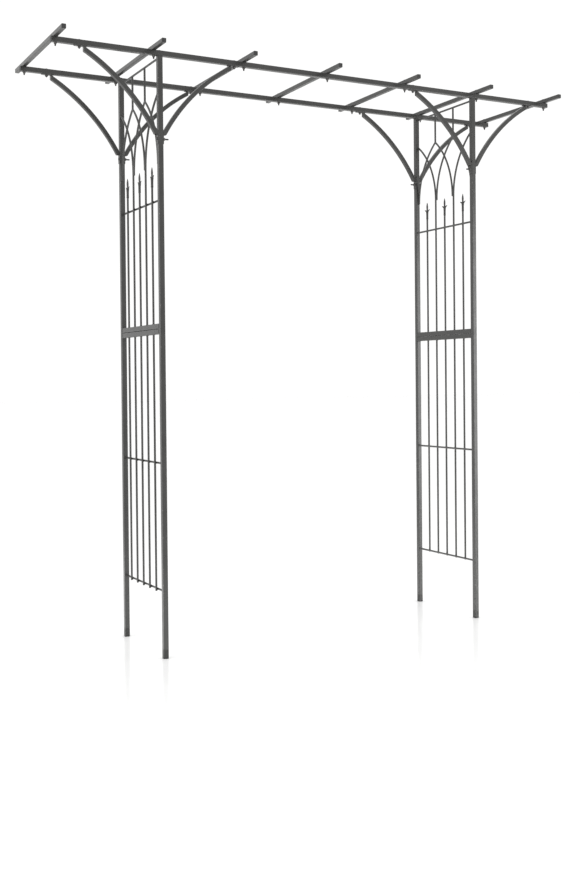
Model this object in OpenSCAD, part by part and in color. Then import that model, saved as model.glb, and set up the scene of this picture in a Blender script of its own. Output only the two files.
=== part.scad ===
// Metal trellis arch: two trellis side panels on four posts carry two long rails,
// seven crossbars and eight curved braces.
// X runs along the rails, Y from front (negative) to back, Z up.
// The origin is on the ground, in the middle of the four feet.

/* [Overall] */
// Distance between the post centres of the left and right panels
span = 1400; // [1000:10:1800]
// Distance between the front and back post centres
depth = 414; // [340:2:560]
// Height of the rails' underside above the ground
rail_height = 2186; // [1850:1:2650]
// Length of each rail beyond the post centres, with its end cap
rail_overhang = 400; // [345:5:520]
// Length of each crossbar beyond the rail centres, with its end cap
bar_overhang = 105; // [60:5:180]

/* [Tube] */
// Outer width of the square tube of the rails, posts and panel bars
tube = 19; // [16:0.5:24]
// Outer width of the square tube of the crossbars and braces
light_tube = 16; // [14:0.5:20]
// Wall of the square tubes
wall = 1.2; // [0.8:0.1:2]

/* [Crossbars] */
// Distance from a rail's end to the centre of the last crossbar
end_bar_inset = 16; // [14:1:40]
// Distance of the crossbar beside each post, outwards from the post centre
post_bar_offset = 22; // [20:1:45]
// Distance from an inner brace's bolt to the next crossbar
inner_bar_gap = 40; // [30:1:90]

/* [Panels] */
// Height of the lower panel, where the upper one stands on it
panel_joint = 1200; // [900:5:1400]
// Gap left between the two bars at the panel joint
joint_gap = 1; // [0.4:0.1:3]
// Diameter of the panel rods and wires
rod_d = 8; // [6:0.5:9.5]
// Depth that a welded crossing or tail sinks in
weld_sink = 0.4; // [0.2:0.1:1]
// Gap between a rod and the ends that are cut to butt against it
butt_gap = 0.05; // [0.02:0.01:0.2]
// Height of the bottom wire
bottom_wire_z = 242; // [150:1:400]
// Length of the rods below the bottom wire's centre
rod_tail = 7; // [4:0.5:20]
// Height of the middle wire of the lower panel
lower_wire_z = 709; // [500:1:850]
// Depth of the upper panel's wire below the rails
upper_wire_drop = 517; // [470:1:560]
// Depth of the top wire below the rails
top_wire_drop = 8; // [6:1:40]
// Depth of the arches' spring line below the rails
spring_drop = 388; // [360:1:420]
// Rise of the arches from the spring line to their points
arch_rise = 255; // [235:1:280]
// Height above an arch point's centre where it is cut flat for the rod on it
apex_land = 1; // [0.5:0.1:1.5]

/* [Finials] */
// Depth of the finial tips below the rails
finial_tip_drop = 388; // [370:1:400]
// Length from a finial's tip to the middle of its cross arms
finial_blade = 36; // [28:1:50]
// Length from the cross arms' middle to the socket's lower end
finial_socket = 39; // [28:1:50]
// Widest radius of a finial's blade
blade_r = 6; // [4:0.5:7.5]
// Radius of a finial's socket
socket_r = 5.2; // [5:0.1:6]
// Width over a finial's two arms
finial_arms = 38; // [26:1:46]

/* [Braces] */
// Depth of a brace's lower end below the rails
brace_drop = 284; // [220:1:330]
// Distance of a brace's upper end from its post's face
brace_reach = 274; // [220:1:310]
// Height above a brace's foot where its outer edge runs into the post's tab
foot_lap = 11; // [0:1:12]
// Bending radius of a brace's centre line
brace_radius = 700; // [450:10:1000]
// Thickness of a brace's end tabs
tab_t = 2.5; // [2:0.5:4]
// Width of a brace's end tabs
tab_w = 16; // [14:1:16]
// Length of a tab beyond the brace's end
tab_len = 34; // [28:1:42]
// Distance from the brace's end to the tab's bolt hole
tab_hole = 15; // [13:1:18]
// Length of a tab lying under the brace's end
tab_lap = 12; // [8:1:20]

/* [Fasteners] */
// Bolt diameter
bolt_d = 6; // [5:0.5:7]
// Oversize of the bolt holes in diameter
hole_oversize = 0.5; // [0.3:0.1:1]
// Diameter of the domed bolt heads
head_d = 11; // [10:0.5:12]
// Height of the domed bolt heads
head_h = 3; // [2:0.5:4]
// Width of the nuts across their flats
nut_af = 10; // [9:0.5:11]
// Height of the nuts with their flanges
nut_h = 6; // [5:0.5:7]
// Diameter of the flange of a nut
nut_flange_d = 14; // [12:0.5:14]
// Thickness of the flange of a nut
nut_flange_t = 1.5; // [1:0.25:2.5]
// Bolt length standing out below a rail at a crossbar
bar_bolt_tail = 13; // [8:0.5:20]
// Bolt length standing out below a rail tab
tab_bolt_tail = 9; // [7:0.5:16]
// Bolt length standing out of a post tab
post_bolt_tail = 20; // [8:0.5:24]
// Length of the threaded plug in the top of each post
top_plug_len = 20; // [12:1:30]

/* [Caps and spigots] */
// Thickness of the flange of an end cap
cap_t = 2; // [1.5:0.5:4]
// Depth that an end cap's plug goes into the tube
cap_plug = 7; // [4:1:7]
// Thickness of the flange of a foot cap
foot_t = 3; // [2:0.5:6]
// Depth that a foot cap's plug goes into the post
foot_plug = 20; // [10:1:40]
// Length of a spigot in each of the two posts that it joins
spigot_len = 60; // [40:5:90]
// Clearance round the sliding half of a spigot
spigot_fit = 0.2; // [0.1:0.05:0.4]

/* [Hidden] */
$fn = 48;
arc_fn = 360;
rod_arc_fn = 180;
rod_fn = 24;
bore = tube - 2 * wall;
light_bore = light_tube - 2 * wall;
half_x = span / 2;
half_y = depth / 2;
post_inner = half_y - tube / 2;
rail_end = half_x + rail_overhang;
bar_end = half_y + bar_overhang;
rail_top = rail_height + tube;
bar_top = rail_top + light_tube;
rod_r = rod_d / 2;
bolt_r = bolt_d / 2;

// The rods and arches share one upright plane of a panel, the cross wires lie beside it
rod_x = rod_r;
wire_x = rod_x - rod_d + weld_sink;
rod_gap = 2 * post_inner / 6;
side_lines = [rod_gap, -rod_gap];
spear_lines = [2 * rod_gap, 0, -2 * rod_gap];

spring_z = rail_height - spring_drop;
arch_z = spring_z + arch_rise;
top_wire_z = rail_height - top_wire_drop;
upper_wire_z = rail_height - upper_wire_drop;
collar_z = rail_height - finial_tip_drop - finial_blade;
socket_z = collar_z - finial_socket;
socket_depth = finial_socket * 2 / 3;

// Brace bend: the outer edge of its curve reaches both tabs
edge_r = brace_radius + light_tube / 2;
edge_in = tab_t - weld_sink * 4;
edge_drop = brace_drop - foot_lap;
chord = [brace_reach - edge_in, edge_drop - edge_in];
chord_len = norm(chord);
bend_depth = sqrt(edge_r * edge_r - chord_len * chord_len / 4);
bend_x = (brace_reach + edge_in) / 2 + bend_depth * chord[1] / chord_len;
bend_z = (edge_drop + edge_in) / 2 + bend_depth * chord[0] / chord_len;

// Bolt places, as distances from a post's centre and from the rails
brace_bolt_out = tube / 2 + brace_reach + tab_hole;
post_bolt_z = rail_height - brace_drop - tab_hole;
post_bar_x = half_x + post_bar_offset;
inner_bar_x = half_x - brace_bolt_out - inner_bar_gap;
end_bar_x = rail_end - end_bar_inset;
bar_x = [-end_bar_x, -post_bar_x, -inner_bar_x, 0, inner_bar_x, post_bar_x, end_bar_x];

paint = [0.27, 0.27, 0.26];
dark = [0.12, 0.12, 0.12];
steel = [0.2, 0.2, 0.2];

SIDES = ["left", "right"];
ENDS = ["front", "back"];

function side_sign(s) = s == "left" ? -1 : 1;
function end_sign(e) = e == "front" ? -1 : 1;

// Places its children at each of the four posts, on the ground
module at_posts() {
    for (x = [-half_x, half_x]) for (y = [-half_y, half_y]) translate([x, y, 0]) children();
}

// Places its children at the corner between a post's face and the rails' underside,
// with +X pointing away from the post
module at_brace(side, end, way) {
    sign = side_sign(side) * (way == "outer" ? 1 : -1);
    translate([side_sign(side) * half_x + sign * tube / 2, end_sign(end) * half_y, rail_height])
        mirror([sign < 0 ? 1 : 0, 0, 0]) children();
}

module at_all_braces() {
    for (s = SIDES) for (e = ENDS) for (w = ["outer", "inner"]) at_brace(s, e, w) children();
}

// Places its children at each crossing of a crossbar and a rail, on the rail's underside
module at_crossings() {
    for (x = bar_x) for (y = [-half_y, half_y]) translate([x, y, rail_height]) children();
}

// Places its children in a side's panel; both panels are alike and turn their rods outwards,
// with +X pointing away from the walkway
module in_panel(side) {
    translate([side_sign(side) * half_x, 0, 0]) rotate([0, 0, side == "left" ? 180 : 0]) children();
}

module bolt_hole() {
    cylinder(d = bolt_d + hole_oversize, h = 4 * tube, center = true);
}

module tube_section(width) {
    difference() {
        square(width, center = true);
        square(width - 2 * wall, center = true);
    }
}

// Bolt with a domed head on the plane Z = 0, its shank pointing down
module bolt(length) {
    dome_r = (head_d * head_d / 4 + head_h * head_h) / (2 * head_h);
    color(steel) {
        translate([0, 0, -length]) cylinder(r = bolt_r, h = length);
        intersection() {
            translate([0, 0, head_h - dome_r]) sphere(r = dome_r);
            cylinder(d = 2 * head_d, h = 2 * head_h);
        }
    }
}

// Hexagon nut hanging below the plane Z = 0, with its flange on that plane
module nut() {
    color(steel) translate([0, 0, -nut_h]) difference() {
        union() {
            cylinder(d = nut_af / cos(30), h = nut_h, $fn = 6);
            translate([0, 0, nut_h - nut_flange_t]) cylinder(d = nut_flange_d, h = nut_flange_t);
        }
        translate([0, 0, -1]) cylinder(r = bolt_r, h = nut_h + 2);
    }
}

// Cap for a tube of the given width, with its flange outwards on +Z and its plug on -Z
module cap(width, flange, plug) {
    inner = width - 2 * wall;
    color(dark) {
        translate([-width / 2, -width / 2, 0]) cube([width, width, flange]);
        translate([-inner / 2, -inner / 2, -plug]) cube([inner, inner, plug]);
    }
}

module rail(end) {
    length = 2 * (rail_end - cap_t);
    color(paint) translate([0, end_sign(end) * half_y, rail_height + tube / 2]) difference() {
        translate([-length / 2, 0, 0]) rotate([90, 0, 90]) linear_extrude(length) tube_section(tube);
        for (x = bar_x) translate([x, 0, 0]) bolt_hole();
        for (post = [-half_x, half_x]) for (x = [-brace_bolt_out, 0, brace_bolt_out])
            translate([post + x, 0, 0]) bolt_hole();
    }
}

module crossbar(index) {
    length = 2 * (bar_end - cap_t);
    color(paint) translate([bar_x[index], 0, rail_top + light_tube / 2]) difference() {
        translate([0, length / 2, 0]) rotate([90, 0, 0]) linear_extrude(length)
            tube_section(light_tube);
        for (y = [-half_y, half_y]) translate([0, y, 0]) bolt_hole();
    }
}

// Bent square bar that runs on at both ends of a brace
module bent_bar(width) {
    start = atan2(bend_z - edge_in, brace_reach - bend_x);
    finish = atan2(bend_z - brace_drop, edge_in - bend_x);
    spare = 3;
    translate([bend_x, 0, -bend_z]) rotate([90, 0, 0]) rotate([0, 0, start - spare])
        rotate_extrude(angle = finish - start + 2 * spare, $fn = arc_fn)
            translate([brace_radius, 0]) square(width, center = true);
}

// Curved square tube: cut upright and closed by a plate at the rail, cut level and open at its foot
module brace() {
    color(paint) difference() {
        intersection() {
            bent_bar(light_tube);
            translate([tab_t, -tube, -brace_drop])
                cube([brace_reach - tab_t, 2 * tube, brace_drop - tab_t]);
        }
        intersection() {
            bent_bar(light_bore);
            translate([-tube, -tube, -2 * brace_drop])
                cube([brace_reach - wall + tube, 2 * tube, 2 * brace_drop]);
        }
    }
}

// Flat tab on the rail's underside, at the brace's upper end
module rail_tab() {
    color(paint) difference() {
        translate([brace_reach - tab_lap, -tab_w / 2, -tab_t]) cube([tab_lap + tab_len, tab_w, tab_t]);
        translate([brace_reach + tab_hole, 0, 0]) bolt_hole();
    }
}

// Flat tab on the post's face, at the brace's lower end
module post_tab() {
    color(paint) difference() {
        translate([0, -tab_w / 2, -brace_drop - tab_len]) cube([tab_t, tab_w, tab_lap + tab_len]);
        translate([0, 0, -brace_drop - tab_hole]) rotate([0, 90, 0]) bolt_hole();
    }
}

module post(part) {
    low = part == "lower" ? foot_t : panel_joint;
    high = part == "lower" ? panel_joint : rail_height;
    color(paint) difference() {
        translate([0, 0, low]) linear_extrude(high - low) tube_section(tube);
        translate([0, 0, post_bolt_z]) rotate([0, 90, 0]) bolt_hole();
    }
}

// Square bar across a panel, its lower face at height z
module panel_bar(z) {
    color(paint) translate([0, post_inner, z + tube / 2]) rotate([90, 0, 0])
        linear_extrude(2 * post_inner) tube_section(tube);
}

// Upright rod of a panel on the line y
module rod(y, low, high, gap = 0) {
    translate([rod_x, y, low]) cylinder(r = rod_r + gap, h = high - low, $fn = rod_fn);
}

// Level wire between the posts
module wire(x, z) {
    translate([x, post_inner, z]) rotate([90, 0, 0])
        cylinder(r = rod_r, h = 2 * post_inner, $fn = rod_fn);
}

// Arch rod that leaves the line y upright at the spring line and leans by run along Y
// until it has risen by arch_rise; it runs on by the angle extra
module arch(y, run, extra = 0, gap = 0) {
    reach = abs(run);
    radius = (reach * reach + arch_rise * arch_rise) / (2 * reach);
    sweep = atan2(arch_rise, radius - reach) + extra;
    translate([rod_x, y, spring_z]) mirror([0, run < 0 ? 1 : 0, 0]) translate([0, radius, 0])
        rotate([90, 0, 90]) rotate([0, 0, 180 - sweep])
            rotate_extrude(angle = sweep, $fn = rod_arc_fn)
                translate([radius, 0]) circle(r = rod_r + gap, $fn = rod_fn);
}

module lower_rods() {
    color(paint) for (y = concat(side_lines, spear_lines))
        rod(y, bottom_wire_z - rod_tail, panel_joint - joint_gap / 2 - tube);
}

module spear_rods() {
    color(paint) for (y = spear_lines)
        rod(y, panel_joint + joint_gap / 2 + tube, socket_z + socket_depth);
}

// Rods that stand beside the middle spear and bend at the top into arches towards the posts
module cane_rods(gap = 0) {
    color(paint) intersection() {
        for (y = side_lines) {
            rod(y, panel_joint + joint_gap / 2 + tube, spring_z, gap);
            arch(y, sign(y) * (post_inner - abs(y)), 5, gap);
        }
        translate([-tube, -post_inner, 0]) cube([2 * tube, 2 * post_inner, rail_height]);
    }
}

// Arches that leave the posts' faces and end over the nearer cane rod
module post_arch_pair() {
    for (way = [-1, 1]) intersection() {
        arch(way * (post_inner - rod_r), -way * (post_inner - rod_r - rod_gap), 3);
        translate([-tube, way > 0 ? rod_gap : -half_y, 0])
            cube([2 * tube, half_y - rod_gap, arch_z + apex_land]);
    }
}

// Each is cut in two where a cane rod's arch runs through it
module post_arches() {
    color(paint) difference() {
        post_arch_pair();
        cane_rods(butt_gap);
    }
}

// Arch that is welded beside one cane rod and ends over the other one
module cross_arch(way, gap = 0) {
    tail = way * (rod_gap - rod_d + weld_sink);
    intersection() {
        arch(tail, -way * rod_gap - tail, 3, gap);
        translate([-tube, -rod_gap, 0]) cube([2 * tube, 2 * rod_gap, arch_z + apex_land]);
    }
}

// One runs through, the other is cut in two where they cross
module cross_arches() {
    color(paint) {
        difference() {
            cross_arch(1);
            cane_rods();
        }
        difference() {
            cross_arch(-1);
            cross_arch(1, butt_gap);
            cane_rods();
        }
    }
}

// Short upright rods from the flats on the arches' points up to the top wire
module apex_rods() {
    cope = 1;
    color(paint) difference() {
        for (y = side_lines) rod(y, arch_z + apex_land, top_wire_z - rod_r + cope);
        top_wire();
    }
}

module top_wire() {
    color(paint) wire(rod_x, top_wire_z);
}

// Wire that crosses beside all the rods of a panel
module cross_wire(z) {
    color(paint) difference() {
        wire(wire_x, z);
        for (y = concat(side_lines, spear_lines)) rod(y, z - tube, z + tube);
    }
}

// Cast spearhead with two side arms, on a socket that holds the rod's end
module finial() {
    steps = 6;
    tip_r = 0.6;
    flare_r = 6;
    flare_h = 8;
    arm_r = 3.6;
    half_arms = finial_arms / 2;
    blade = [for (i = [0:steps]) let (t = i / steps)
        [tip_r + (blade_r - tip_r) * sin(180 * (0.2 + 0.8 * t)), finial_blade * t]];
    socket = [[0, -finial_socket], [socket_r, -finial_socket], [socket_r, -flare_h], [flare_r, -2]];
    arms = [[0, -half_arms], [tip_r, -half_arms], [arm_r, 0], [tip_r, half_arms], [0, half_arms]];
    color(dark) difference() {
        union() {
            rotate_extrude() polygon(concat(socket, blade, [[0, finial_blade]]));
            rotate([90, 0, 0]) rotate([0, 0, 90]) rotate_extrude() polygon(arms);
        }
        translate([0, 0, -finial_socket - 1]) cylinder(r = rod_r, h = socket_depth + 1);
    }
}

module finials() {
    for (s = SIDES) in_panel(s) for (y = spear_lines) translate([rod_x, y, collar_z]) finial();
}

// Square spigot, welded into the upper post and sliding in the lower one
module spigot() {
    slide = bore - 2 * spigot_fit;
    color(steel) {
        translate([-bore / 2, -bore / 2, panel_joint]) cube([bore, bore, spigot_len]);
        translate([-slide / 2, -slide / 2, panel_joint - spigot_len]) cube([slide, slide, spigot_len]);
    }
}

// Threaded plug in a post's top, for the bolt that holds the rail
module top_plug() {
    color(steel) translate([0, 0, rail_height - top_plug_len]) difference() {
        translate([-bore / 2, -bore / 2, 0]) cube([bore, bore, top_plug_len]);
        translate([0, 0, -1]) cylinder(r = bolt_r, h = top_plug_len + 2);
    }
}

// Places a sideways bolt or nut at each post: towards the outside or the inside of the arch
module at_post_bolts(inside) {
    for (s = SIDES) for (e = ENDS) at_brace(s, e, inside ? "inner" : "outer")
        translate([tab_t, 0, -brace_drop - tab_hole]) rotate([0, inside ? -90 : 90, 0]) children();
}

module nuts() {
    at_crossings() nut();
    at_all_braces() translate([brace_reach + tab_hole, 0, -tab_t]) nut();
    at_post_bolts(true) nut();
}

module end_caps() {
    for (x = [-1, 1]) for (y = [-half_y, half_y])
        translate([x * (rail_end - cap_t), y, rail_height + tube / 2]) rotate([0, x * 90, 0])
            cap(tube, cap_t, cap_plug);
    for (x = bar_x) for (y = [-1, 1])
        translate([x, y * (bar_end - cap_t), rail_top + light_tube / 2]) rotate([-y * 90, 0, 0])
            cap(light_tube, cap_t, cap_plug);
}

rail("front");  // front_rail
rail("back");  // back_rail
for (i = [0:6])
    crossbar(i);
for (e = ENDS) for (s = SIDES) for (b = ["outer", "inner"])
    at_brace(s, e, b) brace();
for (e = ENDS) for (s = SIDES) for (p = ["lower", "upper"])
    translate([side_sign(s) * half_x, end_sign(e) * half_y, 0]) post(p);
for (s = SIDES) {
    in_panel(s) panel_bar(panel_joint - joint_gap / 2 - tube);
    in_panel(s) panel_bar(panel_joint + joint_gap / 2);
    in_panel(s) lower_rods();
    in_panel(s) spear_rods();
    in_panel(s) cane_rods();
    in_panel(s) post_arches();
    in_panel(s) cross_arches();
    in_panel(s) cross_wire(bottom_wire_z);
    in_panel(s) cross_wire(lower_wire_z);
    in_panel(s) cross_wire(upper_wire_z);
    in_panel(s) top_wire();
}
for (s = SIDES) in_panel(s) apex_rods();
finials();
at_all_braces() {  // brace_tabs
    rail_tab();
    post_tab();
}
at_posts() spigot();  // post_spigots
at_posts() top_plug();  // post_top_plugs
at_crossings() translate([0, 0, bar_top - rail_height]) bolt(bar_top - rail_height + bar_bolt_tail);  // crossbar_bolts
at_all_braces() translate([brace_reach + tab_hole, 0, tube]) bolt(tube + tab_t + tab_bolt_tail);  // brace_rail_bolts
at_post_bolts(false) bolt(tube + 2 * tab_t + post_bolt_tail);  // brace_post_bolts
at_posts() translate([0, 0, rail_top]) bolt(tube + top_plug_len);  // rail_post_bolts
nuts();
end_caps();
at_posts() translate([0, 0, foot_t]) mirror([0, 0, 1]) cap(tube, foot_t, foot_plug);  // foot_caps
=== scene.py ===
"""Looks of the metal trellis arch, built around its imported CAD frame.

Each visible piece stands for a CAD node and takes its place from that node's box. Only the fine
shape is added here: rounded tube corners, threads, chamfers and weld beads. Lengths are metres.
"""
import math
import random

import bpy
import bmesh
from mathutils import Matrix, Vector


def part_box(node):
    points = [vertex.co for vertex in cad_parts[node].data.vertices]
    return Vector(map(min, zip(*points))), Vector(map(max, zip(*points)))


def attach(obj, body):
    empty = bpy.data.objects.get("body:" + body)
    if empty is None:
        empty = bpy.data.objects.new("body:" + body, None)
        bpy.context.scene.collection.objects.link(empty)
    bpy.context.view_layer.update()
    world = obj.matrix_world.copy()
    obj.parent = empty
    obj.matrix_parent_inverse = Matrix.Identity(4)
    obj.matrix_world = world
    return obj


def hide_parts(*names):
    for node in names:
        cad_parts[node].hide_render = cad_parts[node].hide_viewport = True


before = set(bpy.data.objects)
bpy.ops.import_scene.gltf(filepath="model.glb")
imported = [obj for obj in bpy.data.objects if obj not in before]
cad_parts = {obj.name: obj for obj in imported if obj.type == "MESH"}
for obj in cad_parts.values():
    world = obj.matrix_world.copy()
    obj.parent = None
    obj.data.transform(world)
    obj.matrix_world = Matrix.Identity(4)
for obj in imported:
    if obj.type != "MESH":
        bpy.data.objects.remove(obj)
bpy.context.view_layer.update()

MM = 0.001
X, Y, Z = Vector((1, 0, 0)), Vector((0, 1, 0)), Vector((0, 0, 1))
SIDES = ("left", "right")
ENDS = ("front", "back")
WAYS = ("outer", "inner")
BAR_NUMBERS = range(1, 8)

# Square tubes: posts, rails and panel bars, then the lighter crossbars and braces
TUBE = 19 * MM
LIGHT_TUBE = 16 * MM
WALL = 1.2 * MM
CORNER_R = 2.0 * MM
BORE_CORNER_R = 0.9 * MM
EDGE_BREAK = 0.25 * MM
# Panels
ROD_R = 4.0 * MM
ROD_CHAMFER = 0.7 * MM
APEX_LAND = 1.0 * MM
BAYS = 6
FINIAL_ARMS_DROP = 36 * MM
# Weld beads: half widths, and how far a ring of weld stands off its rod
ROD_BEAD = 1.1 * MM
TIP_BEAD = 1.0 * MM
ARCH_BEAD = 1.2 * MM
BAR_BEAD = 1.0 * MM
BRACE_BEAD = 1.1 * MM
RING_GAP = 0.2 * MM
TIP_RING_GAP = 0.4 * MM
BEAD_SIDES = 8
# Weld spots: half width, half depth and half height
ARCH_POINT_SPOT = (3.4 * MM, 4.0 * MM, 3.6 * MM)
SPRING_SPOT = (2.0 * MM, 1.6 * MM, 5 * MM)
WIRE_SPOT = (1.6 * MM, 3.0 * MM, 1.5 * MM)
# Fasteners
BOLT_R = 3.0 * MM
THREAD_DEPTH = 0.5 * MM
THREAD_PITCH = 1.0 * MM
SHANK_PAST_GRIP = 1.0 * MM
POST_BOLT_TAIL = 20 * MM
NUT_H = 6.0 * MM
NUT_AF = 10.0 * MM
NUT_FLANGE_R = 7.0 * MM
NUT_FLANGE_T = 1.5 * MM
HEAD_R = 5.5 * MM
HEAD_H = 3.0 * MM
HEAD_RIM = 0.55 * MM
# Braces
BRACE_R = 700 * MM
TAB_T = 2.5 * MM
TAB_W = 16 * MM
TAB_LAP = 12 * MM
TAB_HOLE = 15 * MM
BRACE_SINK = 1.6 * MM
FOOT_LAP = 11 * MM
# Caps
CAP_T = 2 * MM
CAP_PLUG = 7 * MM
CAP_SOFT = 0.9 * MM
FOOT_T = 3 * MM
FOOT_PLUG = 20 * MM
FOOT_SOFT = 1.1 * MM
PLUG_GAP = 0.15 * MM
# Studio
FLOOR_HALF = 60

rng = random.Random(7)


# ---------------------------------------------------------------- geometry helpers

class Piece:
    """Rings of points gathered into one mesh, each point with a share of edge wear."""

    def __init__(self):
        self.points = []
        self.faces = []
        self.wear = []

    def loft(self, rings, wear=None, caps=True, loop=False):
        """Skins a list of rings. wear is one number per point of a ring.

        loop joins the last ring to the first. Otherwise caps closes both ends.
        """
        first, count, size = len(self.points), len(rings), len(rings[0])
        for ring in rings:
            self.points.extend(ring)
            self.wear.extend(wear or [0.0] * size)
        for a in range(count if loop else count - 1):
            low, high = first + a * size, first + (a + 1) % count * size
            for b in range(size):
                c = (b + 1) % size
                self.faces.append((low + b, low + c, high + c, high + b))
        if caps and not loop:
            last = first + (count - 1) * size
            self.faces.append(tuple(first + b for b in reversed(range(size))))
            self.faces.append(tuple(last + b for b in range(size)))

    def add(self, other, matrix):
        """Adds a copy of another piece, placed by matrix."""
        first = len(self.points)
        self.points.extend(matrix @ p for p in other.points)
        self.faces.extend(tuple(first + i for i in face) for face in other.faces)
        self.wear.extend(other.wear)

    def mesh(self, name):
        """Mesh of the piece, its faces turned outwards and its wear stored on the points."""
        mesh = bpy.data.meshes.new(name)
        mesh.from_pydata([tuple(p) for p in self.points], [], self.faces)
        layer = mesh.attributes.new("wear", "FLOAT", "POINT")
        layer.data.foreach_set("value", self.wear)
        bm = bmesh.new()
        bm.from_mesh(mesh)
        bmesh.ops.recalc_face_normals(bm, faces=bm.faces)
        bm.to_mesh(mesh)
        bm.free()
        return mesh

    def make(self, name, material, slot, nodes=(), sharp=38):
        """Shows the piece in place of the CAD nodes. Edges over sharp degrees stay sharp."""
        mesh = self.mesh(name)
        mesh.shade_smooth()
        mesh.set_sharp_from_angle(angle=math.radians(sharp))
        mesh.materials.append(material)
        piece = bpy.data.objects.new(name, mesh)
        bpy.context.scene.collection.objects.link(piece)
        even = piece.modifiers.new("even_normals", "WEIGHTED_NORMAL")
        even.keep_sharp = True
        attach(piece, "root")
        if nodes:
            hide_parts(*nodes)
        return piece


def place(origin, along, side):
    """Matrix whose Z axis points along, with its X axis towards side."""
    z = Vector(along).normalized()
    x = (Vector(side) - z * z.dot(Vector(side))).normalized()
    y = z.cross(x)
    return Matrix.Translation(origin) @ Matrix((x, y, z)).transposed().to_4x4()


def rounded_square(half, radius, steps=4):
    """Points of a square with rounded corners, and the wear of each: most in mid-corner."""
    points, wear = [], []
    for corner in range(4):
        for i in range(steps + 1):
            turn = math.radians(90 * (corner + i / steps))
            mid = math.radians(90 * corner + 45)
            x = (half - radius) * math.copysign(1, math.cos(mid)) + radius * math.cos(turn)
            y = (half - radius) * math.copysign(1, math.sin(mid)) + radius * math.sin(turn)
            points.append((x, y))
            wear.append(math.sin(math.pi * i / steps))
    return points, wear


def circle(radius, count, z=0.0):
    """Points of a level circle at height z."""
    turns = [2 * math.pi * i / count for i in range(count)]
    return [Vector((radius * math.cos(t), radius * math.sin(t), z)) for t in turns]


def straight_tube(width, length):
    """Hollow square tube from Z = 0 up, its ends lightly broken."""
    piece = Piece()
    outer, wear = rounded_square(width / 2, CORNER_R)
    broken, _ = rounded_square(width / 2 - EDGE_BREAK, CORNER_R - EDGE_BREAK)
    inner, _ = rounded_square(width / 2 - WALL, BORE_CORNER_R)
    rings = [(broken, 0), (outer, EDGE_BREAK), (outer, length - EDGE_BREAK), (broken, length),
             (inner, length), (inner, 0)]
    piece.loft([[Vector((x, y, z)) for x, y in ring] for ring, z in rings], wear, loop=True)
    return piece


def swept_rod(path, sides=20):
    """Round rod along a path of points, its ends lightly chamfered."""
    piece = Piece()
    path = [Vector(p) for p in path]
    steps = [(path[min(i + 1, len(path) - 1)] - path[max(i - 1, 0)]).normalized()
             for i in range(len(path))]
    side = X if abs(steps[0].x) < 0.9 else Y
    stations = [(path[0], steps[0], ROD_R - ROD_CHAMFER)]
    stations.append((path[0] + steps[0] * ROD_CHAMFER, steps[0], ROD_R))
    stations += [(path[i], steps[i], ROD_R) for i in range(1, len(path) - 1)]
    stations.append((path[-1] - steps[-1] * ROD_CHAMFER, steps[-1], ROD_R))
    stations.append((path[-1], steps[-1], ROD_R - ROD_CHAMFER))
    rings = []
    for point, along, r in stations:
        rings.append([place(point, along, side) @ p for p in circle(r, sides)])
    piece.loft(rings)
    return piece


# ---------------------------------------------------------------- welds

def bead_ring(spot, out, up, radius):
    """Round section of a bead about a spot, in the plane of out and up."""
    turns = [2 * math.pi * k / BEAD_SIDES for k in range(BEAD_SIDES)]
    return [spot + (out * math.cos(t) + up * math.sin(t)) * radius for t in turns]


def weld_ring(radius, bead, count=28, lump_count=9):
    """Lumpy weld bead round a circle on the plane Z = 0."""
    piece = Piece()
    lumps = [rng.uniform(0.8, 1.2) for _ in range(lump_count)]
    rings = []
    for i, spot in enumerate(circle(radius, count)):
        lump = lumps[i * lump_count // count]
        rings.append(bead_ring(spot, spot.normalized(), Z, lump * bead))
    piece.loft(rings, loop=True)
    return piece


def weld_blob(size, rows=6, sides=10):
    """Small lens of weld metal. size holds its half width, half depth and half height."""
    piece = Piece()
    wide, deep, tall = size
    rings = []
    for k in range(1, rows):
        lat = math.pi * k / rows
        swell = rng.uniform(0.9, 1.1)
        rings.append([Vector((wide * math.sin(lat) * math.cos(t) * swell,
                              deep * math.sin(lat) * math.sin(t) * swell,
                              -tall * math.cos(lat)))
                      for t in (2 * math.pi * i / sides for i in range(sides))])
    piece.loft(rings)
    return piece


def weld_line(start, end, bead, out):
    """Rippled weld bead from start to end, lying on a face whose normal is out."""
    piece = Piece()
    start, out = Vector(start), Vector(out)
    run = Vector(end) - start
    ripple = 0.7 * MM
    count = max(6, int(run.length / ripple))
    side = run.normalized().cross(out).normalized()
    rings = []
    for i in range(count + 1):
        if i in (0, count):
            swell = 0.35
        else:
            swell = 1 + 0.14 * math.sin(2.1 * i) + rng.uniform(-0.06, 0.06)
        rings.append(bead_ring(start + run * (i / count), side, out, bead * swell))
    piece.loft(rings)
    return piece


# ---------------------------------------------------------------- materials

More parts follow.
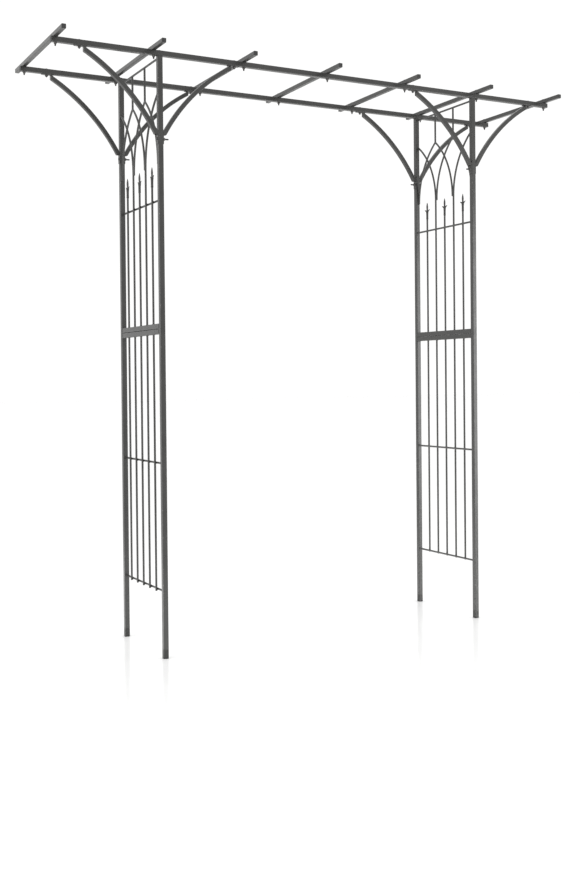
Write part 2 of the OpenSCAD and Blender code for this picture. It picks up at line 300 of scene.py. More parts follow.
class Nodes:
    """Short names for building one material's nodes."""

    def __init__(self, name):
        self.material = bpy.data.materials.new(name)
        self.material.use_nodes = True
        self.tree = self.material.node_tree
        self.shader = self.tree.nodes["Principled BSDF"]
        self.place = self.tree.nodes.new("ShaderNodeTexCoord").outputs["Object"]

    def link(self, source, target):
        self.tree.links.new(source, target)

    def noise(self, scale, detail=3.0, roughness=0.55, stretch=None):
        """Cloudy pattern fixed to the piece, with scale lumps to the metre."""
        node = self.tree.nodes.new("ShaderNodeTexNoise")
        node.inputs["Scale"].default_value = scale
        node.inputs["Detail"].default_value = detail
        node.inputs["Roughness"].default_value = roughness
        source = self.place
        if stretch:
            mapping = self.tree.nodes.new("ShaderNodeMapping")
            mapping.inputs["Scale"].default_value = stretch
            self.link(source, mapping.inputs["Vector"])
            source = mapping.outputs["Vector"]
        self.link(source, node.inputs["Vector"])
        return node.outputs["Fac"]

    def spread(self, source, low, high, to_low=0.0, to_high=1.0):
        """Maps low to high onto to_low to to_high, and holds it between them."""
        node = self.tree.nodes.new("ShaderNodeMapRange")
        node.inputs["From Min"].default_value = low
        node.inputs["From Max"].default_value = high
        node.inputs["To Min"].default_value = to_low
        node.inputs["To Max"].default_value = to_high
        self.link(source, node.inputs["Value"])
        return node.outputs["Result"]

    def math(self, operation, a, b):
        node = self.tree.nodes.new("ShaderNodeMath")
        node.operation = operation
        for socket, value in zip(node.inputs, (a, b)):
            if isinstance(value, (int, float)):
                socket.default_value = value
            else:
                self.link(value, socket)
        return node.outputs["Value"]

    def mix(self, share, a, b):
        """Colour a where share is 0, and b where it is 1."""
        node = self.tree.nodes.new("ShaderNodeMix")
        node.data_type = "RGBA"
        self.link(share, node.inputs["Factor"])
        for socket, value in ((node.inputs[6], a), (node.inputs[7], b)):
            if isinstance(value, tuple):
                socket.default_value = (*value, 1)
            else:
                self.link(value, socket)
        return node.outputs[2]

    def attribute(self, name):
        node = self.tree.nodes.new("ShaderNodeAttribute")
        node.attribute_name = name
        return node.outputs["Fac"]

    def facing_up(self):
        """1 on faces that look straight up, 0 on upright ones."""
        geometry = self.tree.nodes.new("ShaderNodeNewGeometry")
        split = self.tree.nodes.new("ShaderNodeSeparateXYZ")
        self.link(geometry.outputs["Normal"], split.inputs["Vector"])
        return split.outputs["Z"]

    def bump(self, height, distance, strength, under=None):
        """Normal of a bumpy skin, laid over another one if under is given."""
        node = self.tree.nodes.new("ShaderNodeBump")
        node.inputs["Strength"].default_value = strength
        node.inputs["Distance"].default_value = distance
        self.link(height, node.inputs["Height"])
        if under:
            self.link(under, node.inputs["Normal"])
        return node.outputs["Normal"]


def powder_coat():
    """Anthracite powder coat: orange-peel skin, patchy film, dust on top, thin chips on edges."""
    n = Nodes("anthracite_powder_coat")
    patches = n.spread(n.noise(9, 4), 0.35, 0.65)
    speckle = n.spread(n.noise(900, 2), 0.4, 0.68)
    film = n.mix(patches, (0.023, 0.023, 0.022), (0.033, 0.033, 0.0315))
    flecked = n.mix(n.math("MULTIPLY", speckle, 0.25), film, (0.075, 0.075, 0.072))
    dust = n.math("MULTIPLY", n.spread(n.facing_up(), 0.6, 1.0),
                  n.spread(n.noise(60, 5, 0.65), 0.42, 0.7, 0.0, 0.30))
    dusted = n.mix(dust, flecked, (0.26, 0.25, 0.23))
    chips = n.math("MULTIPLY", n.attribute("wear"), n.spread(n.noise(170, 6, 0.7), 0.60, 0.66))
    n.link(n.mix(chips, dusted, (0.30, 0.29, 0.28)), n.shader.inputs["Base Color"])
    gloss = n.math("ADD", n.spread(n.noise(26, 5, 0.6), 0.3, 0.7, 0.23, 0.33),
                   n.math("MULTIPLY", dust, 0.4))
    n.link(gloss, n.shader.inputs["Roughness"])
    peel = n.bump(n.noise(620, 2, 0.5), 0.12 * MM, 0.55)
    sag = n.bump(n.noise(70, 3), 0.25 * MM, 0.35, peel)
    n.link(n.bump(chips, 0.08 * MM, -0.6, sag), n.shader.inputs["Normal"])
    return n.material


def cast_black():
    """Black paint on a sand casting."""
    n = Nodes("black_cast_iron")
    tone = n.mix(n.spread(n.noise(140, 5), 0.35, 0.7), (0.014, 0.014, 0.014), (0.035, 0.034, 0.033))
    chips = n.math("MULTIPLY", n.attribute("wear"), n.spread(n.noise(260, 5, 0.7), 0.58, 0.66))
    n.link(n.mix(chips, tone, (0.16, 0.15, 0.14)), n.shader.inputs["Base Color"])
    n.link(n.spread(n.noise(200, 4), 0.3, 0.7, 0.42, 0.62), n.shader.inputs["Roughness"])
    grains = n.bump(n.noise(1400, 4, 0.7), 0.15 * MM, 0.6)
    n.link(n.bump(n.noise(240, 3), 0.35 * MM, 0.45, grains), n.shader.inputs["Normal"])
    return n.material


def black_zinc():
    """Black zinc plating, worn to a duller grey on the corners."""
    n = Nodes("black_zinc_steel")
    tone = n.mix(n.spread(n.noise(120, 5), 0.35, 0.7), (0.020, 0.020, 0.021), (0.050, 0.050, 0.050))
    rubbed = n.math("MULTIPLY", n.attribute("wear"), n.spread(n.noise(420, 4, 0.65), 0.45, 0.62))
    n.link(n.mix(rubbed, tone, (0.24, 0.23, 0.22)), n.shader.inputs["Base Color"])
    n.shader.inputs["Metallic"].default_value = 0.6
    n.link(n.spread(n.noise(300, 4), 0.3, 0.7, 0.30, 0.50), n.shader.inputs["Roughness"])
    n.link(n.bump(n.noise(900, 3), 0.05 * MM, 0.5), n.shader.inputs["Normal"])
    return n.material


def black_plastic():
    """Moulded black cap with a fine spark-eroded grain and light scuffs."""
    n = Nodes("moulded_black_plastic")
    tone = n.mix(n.spread(n.noise(90, 4), 0.35, 0.7), (0.016, 0.016, 0.016), (0.028, 0.028, 0.028))
    scuffs = n.math("MULTIPLY", n.spread(n.noise(130, 5, 0.7, (1, 1, 9)), 0.62, 0.72),
                    n.math("ADD", n.attribute("wear"), 0.25))
    n.link(n.mix(scuffs, tone, (0.10, 0.10, 0.10)), n.shader.inputs["Base Color"])
    n.link(n.spread(n.noise(70, 4), 0.3, 0.7, 0.44, 0.60), n.shader.inputs["Roughness"])
    n.link(n.bump(n.noise(1600, 2), 0.05 * MM, 0.6), n.shader.inputs["Normal"])
    return n.material


PAINT, CAST, ZINC, PLASTIC = powder_coat(), cast_black(), black_zinc(), black_plastic()


# ---------------------------------------------------------------- where things are

def centre(node):
    """Middle of a node's box."""
    low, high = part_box(node)
    return (low + high) / 2


rail_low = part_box("front_rail")[0].z
rail_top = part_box("front_rail")[1].z
rail_y = [centre("front_rail").y, centre("back_rail").y]
bar_x = [centre(f"crossbar_{number}").x for number in BAR_NUMBERS]
post_x = {side: centre(f"front_{side}_upper_post").x for side in SIDES}
inner_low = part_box("front_left_upper_post")[1].y
inner_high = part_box("back_left_upper_post")[0].y
bay = (inner_high - inner_low) / BAYS
rod_lines = [inner_low + bay * k for k in range(1, BAYS)]
spear_lines = rod_lines[0::2]
cane_lines = rod_lines[1::2]


# ---------------------------------------------------------------- tubes

def tube_from_box(node, axis, width=TUBE):
    """Rounded hollow tube in the place of a straight tube node."""
    low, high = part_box(node)
    start = (low + high) / 2
    start[axis] = low[axis]
    along = (X, Y, Z)[axis]
    side = X if axis else Z
    piece = Piece()
    piece.add(straight_tube(width, high[axis] - low[axis]), place(start, along, side))
    piece.make(f"{node}_tube", PAINT, "frame_paint", [node])


for rail in ("front_rail", "back_rail"):
    tube_from_box(rail, 0)
for number in BAR_NUMBERS:
    tube_from_box(f"crossbar_{number}", 1, LIGHT_TUBE)
for side in SIDES:
    for end in ENDS:
        for half in ("lower", "upper"):
            tube_from_box(f"{end}_{side}_{half}_post", 2)
    for bar in ("lower_top_bar", "upper_bottom_bar"):
        tube_from_box(f"{side}_{bar}", 1)


# ---------------------------------------------------------------- braces and tabs

def brace_frame(side, end, way):
    """Corner between a post's face and the rails' underside, and the sign of its outward X."""
    sign = (-1 if side == "left" else 1) * (1 if way == "outer" else -1)
    y = rail_y[ENDS.index(end)]
    return Vector((post_x[side] + sign * TUBE / 2, y, rail_low)), sign


def brace_bend(reach, drop):
    """Centre of a brace's bend, X from the post and Y down, and the angles of the tube's ends.

    The bend's outer edge runs from reach on the rail's tab to FOOT_LAP above drop on the post's
    tab, and is sunk by BRACE_SINK into both.
    """
    edge_r = BRACE_R + LIGHT_TUBE / 2
    edge_in = TAB_T - BRACE_SINK
    edge_drop = drop - FOOT_LAP
    chord = Vector((reach - edge_in, edge_drop - edge_in))
    depth = math.sqrt(edge_r ** 2 - chord.length_squared / 4)
    bend = Vector(((reach + edge_in) / 2 + depth * chord.y / chord.length,
                   (edge_drop + edge_in) / 2 + depth * chord.x / chord.length))
    start = math.atan2(bend.y - edge_in, reach - bend.x)
    finish = math.atan2(bend.y - drop, edge_in - bend.x)
    return bend, start, finish


def bent_tube(bend, start, finish, steps=40):
    """Hollow tube round the bend, a few degrees longer than needed at both ends."""
    spare = math.radians(3)
    outer, wear = rounded_square(LIGHT_TUBE / 2, CORNER_R)
    inner, _ = rounded_square(LIGHT_TUBE / 2 - WALL, BORE_CORNER_R)
    turns = [start - spare + (finish - start + 2 * spare) * i / steps for i in range(steps + 1)]

    def ring(section, turn):
        return [Vector((bend.x + (BRACE_R + a) * math.cos(turn), b,
                        -bend.y + (BRACE_R + a) * math.sin(turn))) for a, b in section]

    piece = Piece()
    piece.loft([ring(outer, turn) for turn in turns]
               + [ring(inner, turn) for turn in reversed(turns)], wear, loop=True)
    return piece


def cut_to_planes(piece, planes):
    """Copy of a piece without what lies past each plane, its cuts closed."""
    mesh = piece.mesh("cut")
    bm = bmesh.new()
    bm.from_mesh(mesh)
    for point, normal in planes:
        cut = bmesh.ops.bisect_plane(bm, geom=bm.verts[:] + bm.edges[:] + bm.faces[:], dist=1e-7,
                                     plane_co=point, plane_no=normal, clear_outer=True)
        edges = [e for e in cut["geom_cut"] if isinstance(e, bmesh.types.BMEdge)]
        if edges:
            bmesh.ops.triangle_fill(bm, use_beauty=True, use_dissolve=False, edges=edges)
    bm.to_mesh(mesh)
    bm.free()
    kept = Piece()
    kept.points = [v.co.copy() for v in mesh.vertices]
    kept.faces = [tuple(f.vertices) for f in mesh.polygons]
    kept.wear = [d.value for d in mesh.attributes["wear"].data]
    bpy.data.meshes.remove(mesh)
    return kept


def brace_shape(reach, drop):
    """Curved hollow tube in its corner's frame, X away from the post and Z up, cut to its tabs."""
    bend, start, finish = brace_bend(reach, drop)
    # Cut at the post's tab, the rail end, the rail's tab and the foot
    planes = (((TAB_T, 0, 0), -X), ((reach, 0, 0), X), ((0, 0, -TAB_T), Z), ((0, 0, -drop), -Z))
    piece = cut_to_planes(bent_tube(bend, start, finish), planes)

    def height(radius):
        return -bend.y + math.sqrt(radius ** 2 - (reach - bend.x) ** 2)

    # Plate that closes the rail end, sunk a little into the walls and behind the tube's rim
    bite, recess = 0.3 * MM, 0.15 * MM
    side = LIGHT_TUBE / 2 - WALL + 0.2 * MM
    bottom = height(BRACE_R - LIGHT_TUBE / 2 + WALL) - bite
    top = height(BRACE_R + LIGHT_TUBE / 2 - WALL) + bite
    corners = ((-side, bottom), (side, bottom), (side, top), (-side, top))
    piece.loft([[Vector((x, y, z)) for y, z in corners] for x in (reach - WALL, reach - recess)])
    return piece


def tab_shape(length, width, arc=4):
    """Flat tab on the plane Z = 0, from X = 0 to length, its far corners rounded and edges soft."""
    corner, edge = 3.0 * MM, 0.35 * MM

    def outline(inset, z):
        half, far, r = width / 2 - inset, length - inset, corner - inset
        points = [Vector((inset, half, z)), Vector((inset, -half, z))]
        for sign, first in ((-1, -90), (1, 0)):
            for i in range(arc + 1):
                turn = math.radians(first + 90 * i / arc)
                x = far - r + r * math.cos(turn)
                y = sign * (half - r) + r * math.sin(turn)
                points.append(Vector((x, y, z)))
        return points

    piece = Piece()
    rings = [outline(edge, 0), outline(0, edge), outline(0, TAB_T - edge), outline(edge, TAB_T)]
    piece.loft(rings, [0.6] * len(rings[0]))
    return piece


corner, _ = brace_frame("left", "front", "outer")
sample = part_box("front_left_outer_brace")
REACH = corner.x - sample[0].x
DROP = rail_low - sample[0].z
TAB_LEN = (rail_low - DROP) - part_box("brace_tabs")[0].z
brace = brace_shape(REACH, DROP)
tab = tab_shape(TAB_LAP + TAB_LEN, TAB_W)
tabs, brace_welds = Piece(), Piece()
for side in SIDES:
    for end in ENDS:
        for way in WAYS:
            origin, sign = brace_frame(side, end, way)
            out = X * sign
            shown = Piece()
            shown.add(brace, Matrix.Translation(origin) @ Matrix.Diagonal((sign, 1, 1, 1)))
            node = f"{end}_{side}_{way}_brace"
            shown.make(f"{node}_tube", PAINT, "frame_paint", [node])
            tabs.add(tab, place(origin + out * (REACH - TAB_LAP) - Z * TAB_T, Z, out))
            tabs.add(tab, place(origin - Z * (DROP - TAB_LAP), out, -Z))
            across = Y * (LIGHT_TUBE / 2 - CORNER_R)
            head = origin + out * REACH - Z * TAB_T
            foot = origin - Z * DROP + out * TAB_T
            for spot, face in ((head, -Z), (foot, out)):
                bead = weld_line(spot - across, spot + across, BRACE_BEAD, face)
                brace_welds.add(bead, Matrix())
tabs.make("brace_tabs_flat", PAINT, "frame_paint", ["brace_tabs"])
brace_welds.make("brace_weld_beads", PAINT, "frame_paint")


# ---------------------------------------------------------------- side panels

def arch_path(y, run, spring, rise, steps=24):
    """Points (y, z) of an arch that leaves y upright at the spring line and leans by run."""
    reach = abs(run)
    radius = (reach ** 2 + rise ** 2) / (2 * reach)
    sweep = math.atan2(rise, radius - reach)
    lean = math.copysign(1, run)
    path = []
    for i in range(steps + 1):
        turn = sweep * i / steps
        path.append((y + lean * radius * (1 - math.cos(turn)), spring + radius * math.sin(turn)))
    return path


def upright(x, y, low, high):
    return swept_rod([(x, y, low), (x, y, (low + high) / 2), (x, y, high)])


def arch_rod(x, path):
    return swept_rod([(x, y, z) for y, z in path])


def show_rods(rods, node):
    """Shows a list of rods as one painted piece in place of a node."""
    piece = Piece()
    for rod in rods:
        piece.add(rod, Matrix())
    piece.make(f"{node}_round", PAINT, "frame_paint", [node])


class Panel:
    """Rods, arches and wires of one side, and the weld beads that hold them together."""

    def __init__(self, side):
        self.side = side
        self.rod_x = centre(f"{side}_spear_rods").x
        self.wire_x = centre(f"{side}_lower_wire").x
        self.bars = [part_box(f"{side}_lower_top_bar"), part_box(f"{side}_upper_bottom_bar")]
        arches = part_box(f"{side}_post_arches")
        self.spring = arches[0].z
        self.rise = arches[1].z - APEX_LAND - self.spring
        self.beads = Piece()

    def ring_at(self, y, z):
        """Weld ring round a rod's end on a bar."""
        spot = Matrix.Translation((self.rod_x, y, z))
        self.beads.add(weld_ring(ROD_R + RING_GAP, ROD_BEAD), spot)

    def blob_at(self, size, spot):
        self.beads.add(weld_blob(size), Matrix.Translation(spot))

    def line_on(self, start, end, bead, out):
        self.beads.add(weld_line(start, end, bead, out), Matrix())

    def straight_rods(self):
        """Uprights below the double bar, and those above it that carry the spearheads."""
        low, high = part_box(f"{self.side}_lower_rods")
        rods = []
        for y in rod_lines:
            rods.append(upright(self.rod_x, y, low.z, high.z))
            self.ring_at(y, high.z)
        show_rods(rods, f"{self.side}_lower_rods")
        low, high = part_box(f"{self.side}_spear_rods")
        show_rods([upright(self.rod_x, y, low.z, high.z) for y in spear_lines],
                  f"{self.side}_spear_rods")
        for y in rod_lines:
            self.ring_at(y, low.z)

    def cane_rods(self):
        """Rods that bend over at the spring line until they meet the posts."""
        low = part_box(f"{self.side}_spear_rods")[0].z
        rods = []
        for y, target in zip(cane_lines, (inner_low, inner_high)):
            bend = arch_path(y, target - y, self.spring, self.rise)
            rods.append(arch_rod(self.rod_x, [(y, low), (y, (low + self.spring) / 2)] + bend))
            tip = Vector((self.rod_x, *bend[-1]))
            self.beads.add(weld_ring(ROD_R + TIP_RING_GAP, TIP_BEAD), place(tip, Y, X))
        show_rods(rods, f"{self.side}_cane_rods")

    def post_arches(self):
        """Half arches that rise from the posts' faces to the cane rods' lines."""
        # The seam on the post's face starts just above the rod's end and stops where they part
        first, last = self.spring + 1 * MM, self.spring + 22 * MM
        rods = []
        for face, y in ((inner_low, cane_lines[0]), (inner_high, cane_lines[1])):
            start = face + math.copysign(ROD_R, y - face)
            rods.append(arch_rod(self.rod_x, arch_path(start, y - start, self.spring, self.rise)))
            inwards = Y * math.copysign(1, y - face)
            self.line_on((self.rod_x, face, first), (self.rod_x, face, last), ARCH_BEAD, inwards)
            self.blob_at(ARCH_POINT_SPOT, (self.rod_x, y, self.spring + self.rise))
        show_rods(rods, f"{self.side}_post_arches")

    def cross_arches(self):
        """Half arches that rise beside one cane rod and lean over to the other's line."""
        beside = 2 * ROD_R - 0.4 * MM
        off = 2.2 * MM
        rods = []
        for near, far in (cane_lines, cane_lines[::-1]):
            start = near + math.copysign(beside, far - near)
            rods.append(arch_rod(self.rod_x, arch_path(start, far - start, self.spring, self.rise)))
            for lift in (4 * MM, 26 * MM):
                for x in (self.rod_x + off, self.rod_x - off):
                    spot = (x, (near + start) / 2, self.spring + lift)
                    self.blob_at(SPRING_SPOT, spot)
        show_rods(rods, f"{self.side}_cross_arches")

    def wires(self):
        """Level rods between the posts, welded to them and to the uprights that cross them."""
        off = 3.4 * MM
        for wire in ("bottom_wire", "lower_wire", "upper_wire", "top_wire"):
            low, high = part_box(f"{self.side}_{wire}")
            x, z = (low.x + high.x) / 2, (low.z + high.z) / 2
            shown = swept_rod([(x, low.y, z), (x, 0, z), (x, high.y, z)])
            shown.make(f"{self.side}_{wire}_round", PAINT, "frame_paint", [f"{self.side}_{wire}"])
            for y in (low.y, high.y):
                self.beads.add(weld_ring(ROD_R + RING_GAP, ROD_BEAD), place((x, y, z), Y, X))
            if wire == "top_wire":
                continue
            for y in rod_lines:
                for lift in (-off, off):
                    spot = ((self.rod_x + self.wire_x) / 2, y, z + lift)
                    self.blob_at(WIRE_SPOT, spot)

    def bar_welds(self):
        """Beads round the ends of the double bar, but not on the seam between its two bars."""
        seam = self.bars[0][1].z
        for low, high in self.bars:
            x0, x1 = low.x + CORNER_R, high.x - CORNER_R
            z0, z1 = low.z + CORNER_R, high.z - CORNER_R
            for y, out in ((low.y, Y), (high.y, -Y)):
                for x in (low.x, high.x):
                    self.line_on((x, y, z0), (x, y, z1), BAR_BEAD, out)
                z = low.z if low.z < seam else high.z
                self.line_on((x0, y, z), (x1, y, z), BAR_BEAD, out)


for side in SIDES:
    panel = Panel(side)
    panel.straight_rods()
    panel.cane_rods()
    panel.post_arches()
    panel.cross_arches()
    panel.wires()
    panel.bar_welds()
    panel.beads.make(f"{side}_panel_weld_beads", PAINT, "frame_paint")

apex = Piece()
low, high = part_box("apex_rods")
for side in SIDES:
    x = centre(f"{side}_spear_rods").x
    for y in cane_lines:
        apex.add(upright(x, y, low.z, high.z), Matrix())
apex.make("apex_rods_round", PAINT, "frame_paint", ["apex_rods"])


# ---------------------------------------------------------------- finials

def oval(z, wide, thick, edge=0.0, count=24):
    """Oval section, drawn towards a diamond by edge."""
    points = []
    for i in range(count):
        t = 2 * math.pi * i / count
        c, s = math.cos(t), math.sin(t)
        pull = 1 - edge * (abs(c) + abs(s) - 1)
        points.append(Vector((thick * c * pull, wide * s * pull, z)))
    return points


def spearhead(tip, arms, socket):
    """Socket with a lip and a collar, and a leaf-shaped blade above it.

    tip, arms and socket are the heights of the blade's point, its root and the socket's open end.
    """
    # Share of the socket's height from its open end, and its radius there in millimetres
    lip = ((0, 4.7), (0.015, 5.1), (0.09, 5.1), (0.11, 4.8))
    sleeve = ((0.16, 4.75), (0.45, 4.75), (0.62, 4.95), (0.78, 5.4))
    collar = ((0.86, 5.8), (0.90, 6.0), (0.94, 5.8), (0.97, 5.0), (1.0, 4.4))
    rings = []
    for share, r in lip + sleeve + collar:
        rings.append(oval(socket + (arms - socket) * share, r * MM, r * MM))
    # The blade's sections lie closer together towards its root and its point
    blade = (0.06, 0.10, 0.16, 0.23, 0.31, 0.40, 0.50, 0.60, 0.70, 0.79, 0.87, 0.94, 0.985, 1.0)
    for share in blade:
        swell = math.sin(math.pi * (0.17 + 0.83 * share)) ** 0.9
        wide = (0.5 + 5.5 * swell) * MM
        thick = (0.5 + 3.7 * swell) * MM
        rings.append(oval(arms + (tip - arms) * share, wide, thick, 0.42 * min(1, share * 5)))
    piece = Piece()
    piece.loft(rings, [0.5] * len(rings[0]))
    return piece


def side_arm(way, arms, length, steps=12, sides=12):
    """Small arm beside the blade that dips first and then turns up to its point."""
    rings = []
    for i in range(steps + 1):
        s = i / steps
        y = way * length * s
        z = arms + (-2.2 * math.sin(math.pi * min(1, s * 1.15)) + 3.4 * s ** 3) * MM
        swell = math.sin(math.pi * (0.30 + 0.66 * s))
        tall, thick = (0.5 + 3.1 * swell) * MM, (0.5 + 1.9 * swell) * MM
        along = place((0, y, z), Vector((0, way, 0.35 * s)), X)
        rings.append([along @ Vector((thick * math.cos(t), tall * math.sin(t), 0))
                      for t in (2 * math.pi * k / sides for k in range(sides))])
    piece = Piece()
    piece.loft(rings, [0.4] * sides)
    return piece


low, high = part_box("finials")
arm_length = (high.y - low.y - (spear_lines[-1] - spear_lines[0])) / 2
arms_z = high.z - FINIAL_ARMS_DROP
finial = spearhead(high.z, arms_z, low.z)
for way in (-1, 1):
    finial.add(side_arm(way, arms_z, arm_length), Matrix())
finials = Piece()
for side in SIDES:
    x = centre(f"{side}_spear_rods").x
    for y in spear_lines:
        finials.add(finial, Matrix.Translation((x, y, 0)))
finials.make("finials_cast", CAST, "finial_iron", ["finials"], sharp=50)


# ---------------------------------------------------------------- fasteners

def hex_ring(flats, z):
    """Hexagon with each corner split in two."""
    points, split = [], 3
    r = flats / 2 / math.cos(math.radians(30 - split))
    for corner in range(6):
        for off in (-split, split):
            turn = math.radians(60 * corner + off)
            points.append(Vector((r * math.cos(turn), r * math.sin(turn), z)))
    return points


def nut_shape():
    """Hex nut on a thin round flange, hanging from the plane Z = 0, its far corners chamfered."""
    piece = Piece()
    bore = BOLT_R + 0.15 * MM
    hexagon = [(0.94, NUT_FLANGE_T * 0.6), (1.0, NUT_FLANGE_T + 0.3 * MM), (1.0, NUT_H - 0.7 * MM),
               (0.94, NUT_H - 0.25 * MM), (0.88, NUT_H), (0.70, NUT_H)]
    rings = [hex_ring(NUT_AF * share, -depth) for share, depth in hexagon]
    for depth in (NUT_H - 0.5 * MM, 0):
        rings.append([p * (bore / p.length) - Z * depth for p in hex_ring(NUT_AF, 0)])
    piece.loft(rings, [0.9] * len(rings[0]), loop=True)
    rim = [(NUT_FLANGE_R - 0.3 * MM, 0), (NUT_FLANGE_R, 0.25 * MM),
           (NUT_FLANGE_R, 0.75 * MM), (NUT_FLANGE_R - 0.4 * MM, 1.0 * MM)]
    flange = [(bore, 0)] + rim + [(NUT_AF / 2, NUT_FLANGE_T + 0.3 * MM), (bore, NUT_FLANGE_T)]
    sides = 32
    piece.loft([circle(r, sides, -depth) for r, depth in flange], [0.6] * sides, loop=True)
    return piece


def thread(start, length, sides=18, steps_per_turn=6):
    """Threaded shank from Z = start down, with a chamfered tip."""
    piece = Piece()
    steps = max(2, int(length / THREAD_PITCH * steps_per_turn))
    chamfer_run, chamfer = 1.2 * MM, 0.8 * MM
    rings = []
    for i in range(steps + 1):
        z = -length * i / steps
        tip = max(0.0, 1 - (length + z) / chamfer_run)
        ring = []
        for k in range(sides):
            phase = (z / THREAD_PITCH - k / sides) % 1.0
            groove = abs(2 * phase - 1)
            r = BOLT_R - THREAD_DEPTH * groove * (1 - tip) - chamfer * tip
            t = 2 * math.pi * k / sides
            ring.append(Vector((r * math.cos(t), r * math.sin(t), start + z)))
        rings.append(ring)
    piece.loft(rings, [0.15] * sides)
    return piece


def bolt_shape(grip, tail, sides=32):
    """Bolt with a domed head on the plane Z = 0, a plain shank for grip and a threaded tail."""
    piece = Piece()
    profile = [(BOLT_R, 0), (HEAD_R - 0.3 * MM, 0), (HEAD_R, 0.25 * MM), (HEAD_R, HEAD_RIM)]
    for share in (0.18, 0.36, 0.54, 0.70, 0.84, 0.94, 0.99):
        turn = math.radians(90 * share)
        profile.append((HEAD_R * math.cos(turn) * 0.985,
                        HEAD_RIM + (HEAD_H - HEAD_RIM) * math.sin(turn)))
    piece.loft([circle(r, sides, z) for r, z in profile], [0.35] * sides)
    shank = BOLT_R - THREAD_DEPTH / 2
    piece.loft([circle(shank, sides, 0), circle(shank, sides, -grip)])
    piece.add(thread(-grip, tail), Matrix())
    return piece


def fastener_set(node, grip, tail, spots):
    """Bolts of one node, at matrices whose Z axis points out of the head."""
    shape, piece = bolt_shape(grip, tail), Piece()
    for spot in spots:
        piece.add(shape, spot)
    piece.make(f"{node}_domed", ZINC, "fastener_steel", [node], sharp=55)


nut, nuts = nut_shape(), Piece()


def nut_below(x, y, z):
    """Nut under the plane at z, turned by chance."""
    spin = Matrix.Rotation(rng.uniform(0, math.pi), 4, "Z")
    nuts.add(nut, Matrix.Translation((x, y, z)) @ spin)


bar_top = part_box("crossbar_4")[1].z
crossings = [(x, y) for x in bar_x for y in rail_y]
fastener_set("crossbar_bolts", bar_top - rail_low + SHANK_PAST_GRIP,
             rail_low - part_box("crossbar_bolts")[0].z - SHANK_PAST_GRIP,
             [Matrix.Translation((x, y, bar_top)) for x, y in crossings])
for x, y in crossings:
    nut_below(x, y, rail_low)

brace_spots, post_spots = [], []
for side in SIDES:
    for end in ENDS:
        for way in WAYS:
            origin, sign = brace_frame(side, end, way)
            hole = origin + X * sign * (REACH + TAB_HOLE)
            brace_spots.append(Matrix.Translation((hole.x, hole.y, rail_top)))
            nut_below(hole.x, hole.y, rail_low - TAB_T)
            face = origin + X * sign * TAB_T - Z * (DROP + TAB_HOLE)
            if way == "outer":
                post_spots.append(place(face, X * sign, Y))
            else:
                nuts.add(nut, place(face, -X * sign, Z))
fastener_set("brace_rail_bolts", TUBE + TAB_T + SHANK_PAST_GRIP,
             rail_low - TAB_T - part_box("brace_rail_bolts")[0].z - SHANK_PAST_GRIP, brace_spots)
fastener_set("brace_post_bolts", TUBE + 2 * TAB_T + SHANK_PAST_GRIP,
             POST_BOLT_TAIL - SHANK_PAST_GRIP, post_spots)
fastener_set("rail_post_bolts", rail_top - rail_low, rail_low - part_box("rail_post_bolts")[0].z,
             [Matrix.Translation((post_x[side], y, rail_top)) for side in SIDES for y in rail_y])
nuts.make("hex_nuts", ZINC, "fastener_steel", ["nuts"], sharp=20)


# ---------------------------------------------------------------- caps

def cap_shape(width, thick, plug, soft, arc=4):
    """Cap on a tube's end at Z = 0: rounded flange above, plug with a tapered tip below."""
    half, bore = width / 2, width / 2 - WALL - PLUG_GAP
    taper, taper_run, under = 0.6 * MM, 0.8 * MM, 0.1 * MM

    def ring(size, radius, z):
        return [Vector((x, y, z)) for x, y in rounded_square(size, radius)[0]]

    rings = [ring(bore - taper, BORE_CORNER_R, -plug),
             ring(bore, BORE_CORNER_R, -plug + taper_run),
             ring(bore, BORE_CORNER_R, 0),
             ring(half - under, CORNER_R, 0)]
    for i in range(arc + 1):
        turn = math.radians(90 * i / arc)
        inset = soft * (1 - math.cos(turn))
        z = thick - soft + soft * math.sin(turn)
        rings.append(ring(half - inset, CORNER_R - inset, z))
    piece = Piece()
    piece.loft(rings, rounded_square(half, CORNER_R)[1])
    return piece


caps, feet = Piece(), Piece()
cap = cap_shape(TUBE, CAP_T, CAP_PLUG, CAP_SOFT)
bar_cap = cap_shape(LIGHT_TUBE, CAP_T, CAP_PLUG, CAP_SOFT)
foot = cap_shape(TUBE, FOOT_T, FOOT_PLUG, FOOT_SOFT)
for rail in ("front_rail", "back_rail"):
    low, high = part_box(rail)
    y, z = (low.y + high.y) / 2, (low.z + high.z) / 2
    caps.add(cap, place((high.x, y, z), X, Z))
    caps.add(cap, place((low.x, y, z), -X, Z))
for number in BAR_NUMBERS:
    low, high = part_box(f"crossbar_{number}")
    x, z = (low.x + high.x) / 2, (low.z + high.z) / 2
    caps.add(bar_cap, place((x, high.y, z), Y, Z))
    caps.add(bar_cap, place((x, low.y, z), -Y, Z))
caps.make("end_caps_moulded", PLASTIC, "cap_plastic", ["end_caps"])

for side in SIDES:
    for end in ENDS:
        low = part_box(f"{end}_{side}_lower_post")[0]
        x, y = post_x[side], rail_y[ENDS.index(end)]
        feet.add(foot, place((x, y, low.z), -Z, X))
feet.make("foot_caps_moulded", PLASTIC, "cap_plastic", ["foot_caps"])

# The spigots and plugs stay as the CAD made them, inside the posts
for hidden in ("post_spigots", "post_top_plugs"):
    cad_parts[hidden].data.materials.clear()
    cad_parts[hidden].data.materials.append(ZINC)


# ---------------------------------------------------------------- studio

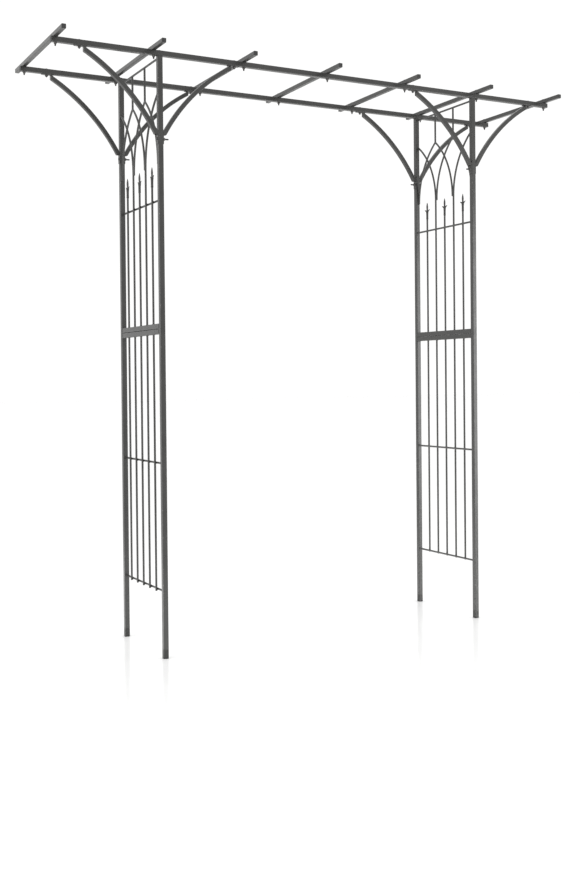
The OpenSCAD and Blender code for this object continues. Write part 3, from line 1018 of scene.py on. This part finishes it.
def floor_material():
    """Pale lacquered floor that mirrors the feet faintly."""
    n = Nodes("studio_floor")
    n.link(n.mix(n.spread(n.noise(3, 4), 0.3, 0.7), (0.90, 0.90, 0.90), (0.93, 0.93, 0.93)),
           n.shader.inputs["Base Color"])
    n.shader.inputs["Roughness"].default_value = 0.14
    n.shader.inputs["Specular IOR Level"].default_value = 0.15
    return n.material


floor_mesh = bpy.data.meshes.new("studio_floor")
corners = ((-1, -1), (1, -1), (1, 1), (-1, 1))
floor_mesh.from_pydata([(FLOOR_HALF * x, FLOOR_HALF * y, 0) for x, y in corners],
                       [], [(0, 1, 2, 3)])
floor_mesh.materials.append(floor_material())
floor = bpy.data.objects.new("studio_floor", floor_mesh)
bpy.context.scene.collection.objects.link(floor)

world = bpy.data.worlds.new("studio")
bpy.context.scene.world = world
world.use_nodes = True
world.node_tree.nodes["Background"].inputs["Color"].default_value = (1, 1, 0.995, 1)
world.node_tree.nodes["Background"].inputs["Strength"].default_value = 1.05


def softbox(name, spot, target, size, power):
    """Rectangular light at spot, turned to its target, that the camera doesn't see."""
    light = bpy.data.lights.new(name, "AREA")
    light.shape = "RECTANGLE"
    light.size, light.size_y = size
    light.energy = power
    lamp = bpy.data.objects.new(name, light)
    lamp.location = spot
    lamp.rotation_mode = "QUATERNION"
    lamp.rotation_quaternion = (Vector(target) - Vector(spot)).to_track_quat("-Z", "Y")
    lamp.visible_camera = False
    bpy.context.scene.collection.objects.link(lamp)


softbox("softbox_left", spot=(-6.5, -0.5, 3.2), target=(0, 0, 1.2), size=(3, 4), power=110)
softbox("softbox_top", spot=(0, 0.5, 6.0), target=(0, 0, 0), size=(6, 4), power=30)
softbox("softbox_low", spot=(0, 0.2, 0.03), target=(0, 0.2, 3), size=(5.2, 3.4), power=41)
softbox("softbox_right", spot=(2.6, -2.6, 1.05), target=(0.75, 0, 1.0), size=(1.4, 2.0), power=42)


# ---------------------------------------------------------------- camera

# Where the photographer stood, and how the lens was turned from the Y axis, tilted and rolled
EYE = (-2.2086, -4.0483, 1.0054)
YAW, PITCH, ROLL = math.radians(27.866), math.radians(-0.667), math.radians(-0.529)
FOCAL_LENGTH = 46.51
FILM_WIDTH = 36
LENS_SHIFT = -0.0489

forward = Vector((math.sin(YAW) * math.cos(PITCH),
                  math.cos(YAW) * math.cos(PITCH),
                  math.sin(PITCH)))
level = Vector((math.cos(YAW), -math.sin(YAW), 0))
over = level.cross(forward)
right = math.cos(ROLL) * level + math.sin(ROLL) * over
up = math.cos(ROLL) * over - math.sin(ROLL) * level
camera_data = bpy.data.cameras.new("camera")
camera_data.lens = FOCAL_LENGTH
camera_data.sensor_width = FILM_WIDTH
camera_data.shift_y = LENS_SHIFT
camera = bpy.data.objects.new("camera", camera_data)
camera.matrix_world = (Matrix.Translation(EYE)
                       @ Matrix((right, up, -forward)).transposed().to_4x4())
bpy.context.scene.collection.objects.link(camera)
bpy.context.scene.camera = camera
bpy.context.scene.view_settings.view_transform = "Standard"
